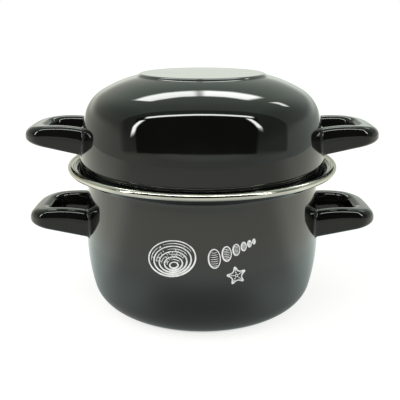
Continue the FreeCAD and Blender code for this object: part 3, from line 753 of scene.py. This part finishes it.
def trim_steel():
    """Rolled stainless strip: fine lines that run round the ring, a slight warm cast, dull patches."""
    material, build, shader, place = new_material("trim_steel")
    lines_a_metre = 9000.0
    breaks_a_radian = 5.0
    x, y, z = build.add("ShaderNodeSeparateXYZ", _out=None, Vector=place).outputs
    r = build.math("SQRT", build.plus(build.times(x, x), build.times(y, y)))
    turn = build.math("ARCTAN2", y, x)
    ring = build.add("ShaderNodeCombineXYZ", X=build.times(r, lines_a_metre),
                     Y=build.times(turn, breaks_a_radian), Z=build.times(z, lines_a_metre))
    lines = build.add("ShaderNodeTexNoise", Vector=ring, Scale=1.0, Detail=2.0)
    patches = build.add("ShaderNodeTexNoise", Vector=place, Scale=40.0, Detail=3.0)
    bump = build.add("ShaderNodeBump", Strength=0.25, Distance=0.00002, Height=lines)
    colour = build.blend(build.ramp(patches, 0.3, 0.7), (0.6, 0.58, 0.53), (0.53, 0.51, 0.46))
    build.put(shader.inputs["Base Color"], colour)
    build.put(shader.inputs["Roughness"], build.ramp(patches, 0.3, 0.75, 0.07, 0.14))
    build.put(shader.inputs["Normal"], bump)
    shader.inputs["Metallic"].default_value = 1.0
    shader.inputs["Specular Tint"].default_value = (0.6, 0.6, 0.58, 1)
    return material


def fired_print():
    """Off-white ceramic ink: a little uneven, thinner in specks, with a dull grain."""
    material, build, shader, place = new_material("print_white")
    grain = build.add("ShaderNodeTexNoise", Vector=place, Scale=1400.0, Detail=3.0)
    clouds = build.add("ShaderNodeTexNoise", Vector=place, Scale=160.0, Detail=2.0)
    thin = build.times(build.ramp(grain, 0.5, 0.68), 0.45)
    tone = build.blend(build.ramp(clouds, 0.35, 0.65), (0.66, 0.68, 0.66), (0.86, 0.87, 0.84))
    bump = build.add("ShaderNodeBump", Strength=0.4, Distance=0.00005, Height=grain)
    build.put(shader.inputs["Base Color"], build.blend(thin, tone, (0.2, 0.21, 0.2)))
    build.put(shader.inputs["Roughness"], build.ramp(clouds, 0.3, 0.7, 0.24, 0.4))
    build.put(shader.inputs["Normal"], bump)
    return material


def window_group():
    """A soft-edged rectangle on a wall: 1 inside Left to Right and Bottom to Top, 0 outside."""
    inputs = [(label, "NodeSocketFloat", 0.0)
              for label in ("Across", "Up", "Left", "Right", "Bottom", "Top")]
    inputs += [(label, "NodeSocketFloat", 0.05) for label in ("Soft Ends", "Soft")]
    build, given, wanted = new_group("window", inputs, [("Mask", "NodeSocketFloat")])
    mask = None
    for spot, soft, edges in (("Across", "Soft Ends", (("Left", 1.0), ("Right", -1.0))),
                              ("Up", "Soft", (("Bottom", 1.0), ("Top", -1.0)))):
        for edge, sign in edges:
            inward = build.times(build.minus(given[spot], given[edge]), sign)
            side = build.ramp(build.over(inward, given[soft]), -1.0, 1.0)
            mask = side if mask is None else build.times(mask, side)
    build.put(wanted["Mask"], mask)
    return build.tree


def studio():
    """The world: white to the camera, soft light to dull surfaces, and a room for the gloss to mirror.

    The room is pale, more so low down and to the sides, with a dark opening ahead and bright windows.
    """
    world = bpy.data.worlds.new("tent")
    bpy.context.scene.world = world
    world.use_nodes = True
    build = Tree(world.node_tree)
    window = window_group()
    way = build.add("ShaderNodeTexCoord", _out="Generated")
    x, y, z = build.add("ShaderNodeSeparateXYZ", _out=None, Vector=way).outputs
    least_depth = 0.0005
    ahead = build.at_least(build.times(y, -1.0), least_depth)
    walls = {"ahead": ahead, "behind": build.at_least(y, least_depth),
             "leaning": build.plus(ahead, build.times(build.at_least(z, 0.0), wall_lean))}

    def field(wall, left, right, bottom, top, soft_ends, soft, strength):
        """One field of the room. Edges and softness are shares of the distance to its wall."""
        mask = build.add("ShaderNodeGroup", _set={"node_tree": window},
                         Across=build.over(x, walls[wall]), Up=build.over(z, walls[wall]),
                         Left=left, Right=right, Bottom=bottom, Top=top, Soft_Ends=soft_ends, Soft=soft)
        return build.times(mask, strength)

    aside = build.math("ABSOLUTE", x)
    pale_board = build.times(build.ramp(z, 0.03, 0.12, 0.0, 0.42),
                             build.ramp(aside, 0.5, 0.85, 1.0, 0.0))
    level = build.plus(build.ramp(aside, 0.6, 0.95, 0.74, 0.85), pale_board)
    level = build.times(level, build.ramp(z, 0.14, 0.3, 1.0, 0.6))
    level = build.plus(level, field(*pale_low_back))
    for dark_field in (dark_room, dim_beside_room):
        level = build.times(level, build.minus(1.0, field(*dark_field)))
    unlit = level
    for bright_field in room_windows:
        level = build.plus(level, field(*bright_field))

    to_the_left = (1.02, 1.04, 0.91)
    to_the_right = (0.95, 1.05, 0.97)
    overhead = (0.93, 1.09, 0.93)
    daylight = (1.0, 1.03, 0.99)
    tone = build.blend(build.ramp(x, -0.9, 0.9), to_the_left, to_the_right)
    tone = build.blend(build.ramp(z, 0.3, 0.6), tone, overhead)
    tone = build.blend(build.ramp(build.minus(level, unlit), 0.0, 4.0), tone, daylight)

    white = (1, 1, 1, 1)
    from_above = build.ramp(z, -0.3, 0.9, 0.75, 1.05)
    mirrored = build.add("ShaderNodeBackground", Color=tone, Strength=level)
    soft_light = build.add("ShaderNodeBackground", Color=white, Strength=from_above)
    seen = build.add("ShaderNodeBackground", Color=white, Strength=1.0)
    ray = build.add("ShaderNodeLightPath", _out=None).outputs
    mixed = build.add("ShaderNodeMixShader", n0=ray["Is Glossy Ray"], n1=soft_light, n2=mirrored)
    mixed = build.add("ShaderNodeMixShader", n0=ray["Is Camera Ray"], n1=mixed, n2=seen)
    build.put(world.node_tree.nodes["World Output"].inputs["Surface"], mixed)


def floor():
    """A round pale table top. It keeps the object's shadow and glows, so that the camera sees white.

    The gloss of the enamel mirrors it as dim and cool near the pot, a painted shade of the pot on the
    table, and as bright and warm far from it, and brighter beside the pot than in front of it. Seen from
    below it is clear.
    """
    table_r = 3.1
    corners = 96
    turn = np.linspace(0, 2 * np.pi, corners, endpoint=False)
    rim = np.stack([table_r * np.cos(turn), table_r * np.sin(turn), 0 * turn], 1)
    mesh = bpy.data.meshes.new("table_top")
    mesh.from_pydata(rim.tolist(), [], [list(range(corners))])
    material, build, shader, place = new_material("pale_table")
    ray_is_gloss = build.add("ShaderNodeLightPath", _out="Is Glossy Ray")
    from_axis = build.add("ShaderNodeVectorMath", _out="Value", _set={"operation": "LENGTH"}, n0=place)
    towards_back = build.add("ShaderNodeSeparateXYZ", _out="Y", Vector=place)
    in_front = build.over(build.times(towards_back, -1.0), build.at_least(from_axis, 0.01))

    # Painted shade: in the gloss the table's glow is dim near the pot, for the pot's shade on the table
    # round it.
    under_belly = build.ramp(from_axis, 0.11, 0.14, 0.13, 0.0)
    mirrored = build.plus(build.ramp(from_axis, 0.14, 0.26, 0.36, 0.78), under_belly)
    far_beside = build.times(build.ramp(in_front, 0.1, 0.5, 0.6, 0.0), build.ramp(from_axis, 0.12, 0.2))
    mirrored = build.times(mirrored, build.plus(far_beside, 1.0))
    near_ring = build.times(build.ramp(from_axis, 0.1, 0.145, 0.0, 0.37),
                            build.ramp(from_axis, 0.15, 0.24, 1.0, 0.0))
    near_beside = build.times(near_ring, build.ramp(in_front, 0.7, 1.0, 1.0, 0.0))
    mirrored = build.plus(mirrored, near_beside)
    cool = (0.9, 1.08, 1.03)
    warm = (1.04, 1.06, 0.9)
    mirrored_tone = build.blend(build.ramp(from_axis, 0.14, 0.4), cool, warm)

    lamp_lit = 0.22
    seen_glow = 0.82
    glow = build.times(build.minus(mirrored, lamp_lit), ray_is_gloss)
    glow = build.plus(glow, build.times(build.minus(1.0, ray_is_gloss), seen_glow))
    # Painted shade under the base: the glow fades out under the pot's foot, for the camera and in the
    # gloss alike, so a dark line shows where the pot stands.
    outside_painted_base_shade = build.ramp(from_axis, 0.082, 0.091)
    colour = build.blend(ray_is_gloss, (0.25, 0.25, 0.247), (0.25, 0.25, 0.25))
    glow_tone = build.blend(ray_is_gloss, (1.0, 1.0, 0.99), mirrored_tone)
    build.put(shader.inputs["Base Color"], colour)
    build.put(shader.inputs["Emission Color"], glow_tone)
    build.put(shader.inputs["Emission Strength"], build.times(glow, outside_painted_base_shade))
    shader.inputs["Roughness"].default_value = 0.9
    shader.inputs["Specular IOR Level"].default_value = 0.0
    from_below = build.add("ShaderNodeNewGeometry", _out="Backfacing")
    clear = build.add("ShaderNodeBsdfTransparent")
    surface = build.add("ShaderNodeMixShader", n0=from_below, n1=shader.outputs[0], n2=clear)
    build.put(material.node_tree.nodes["Material Output"].inputs["Surface"], surface)
    mesh.materials.append(material)
    table = bpy.data.objects.new("table_top", mesh)
    bpy.context.scene.collection.objects.link(table)


def lamp(name, place, aim, size, watts):
    """A square soft lamp that faces a point and doesn't show in the gloss."""
    light = bpy.data.lights.new(name, "AREA")
    light.shape = "SQUARE"
    light.size = size
    light.energy = watts
    holder = bpy.data.objects.new(name, light)
    holder.location = place
    away = holder.location - type(holder.location)(aim)
    holder.rotation_euler = away.to_track_quat("Z", "Y").to_euler()
    bpy.context.scene.collection.objects.link(holder)
    holder.visible_glossy = False


def camera():
    """The photograph's view: in front of the axis and above the rim, looking down."""
    data = bpy.data.cameras.new("view")
    data.sensor_width = film_wide
    data.lens = focal_length / photo_wide * film_wide
    data.shift_x = image_shift / photo_wide
    data.clip_start = 0.01
    data.clip_end = 50.0
    holder = bpy.data.objects.new("view", data)
    holder.location = (0, -view_away, view_above_rim + base_to_rim / 1000)
    holder.rotation_euler = (math.radians(90 - view_down), 0, 0)
    bpy.context.scene.collection.objects.link(holder)
    bpy.context.scene.camera = holder


glass = glass_enamel_group()
pot_enamel = enamel("enamel_pot", glass, wave_size=45.0, wave_height=0.8, gloss=0.05, shine=0.8)
lid_enamel = enamel("enamel_lid", glass, wave_size=38.0, wave_height=1.2, gloss=0.03, shine=0.5)
handle_enamel = enamel("enamel_handles", glass, wave_size=90.0, wave_height=0.8, gloss=0.04, shine=0.42)

pot_side = pot_outline()
lid_side = lid_outline()
turned("pot_wall", sheet_section(*pot_side), pot_enamel, ["pot_body"])
turned("lid_wall", sheet_section(*lid_side, rounded_start=True), lid_enamel, ["lid_shell"])
turned("trim_ring", trim_section(), trim_steel(), ["rim_trim"], around=360)
for name, side in (("right", 1), ("left", -1)):
    handle("pot_handle_" + name, pot_side, side, pot_handle_up, 0, 0, handle_enamel)
    handle("lid_handle_" + name, lid_side, side, lid_handle_z, lid_handle_tilt, lid_handle_in,
           handle_enamel)
belly_print(pot_side, fired_print())

studio()
floor()
lamp("key", place=(-0.7, -0.6, 1.3), aim=(0, 0, 0.1), size=0.8, watts=6)
camera()
bpy.context.scene.view_settings.view_transform = "Standard"
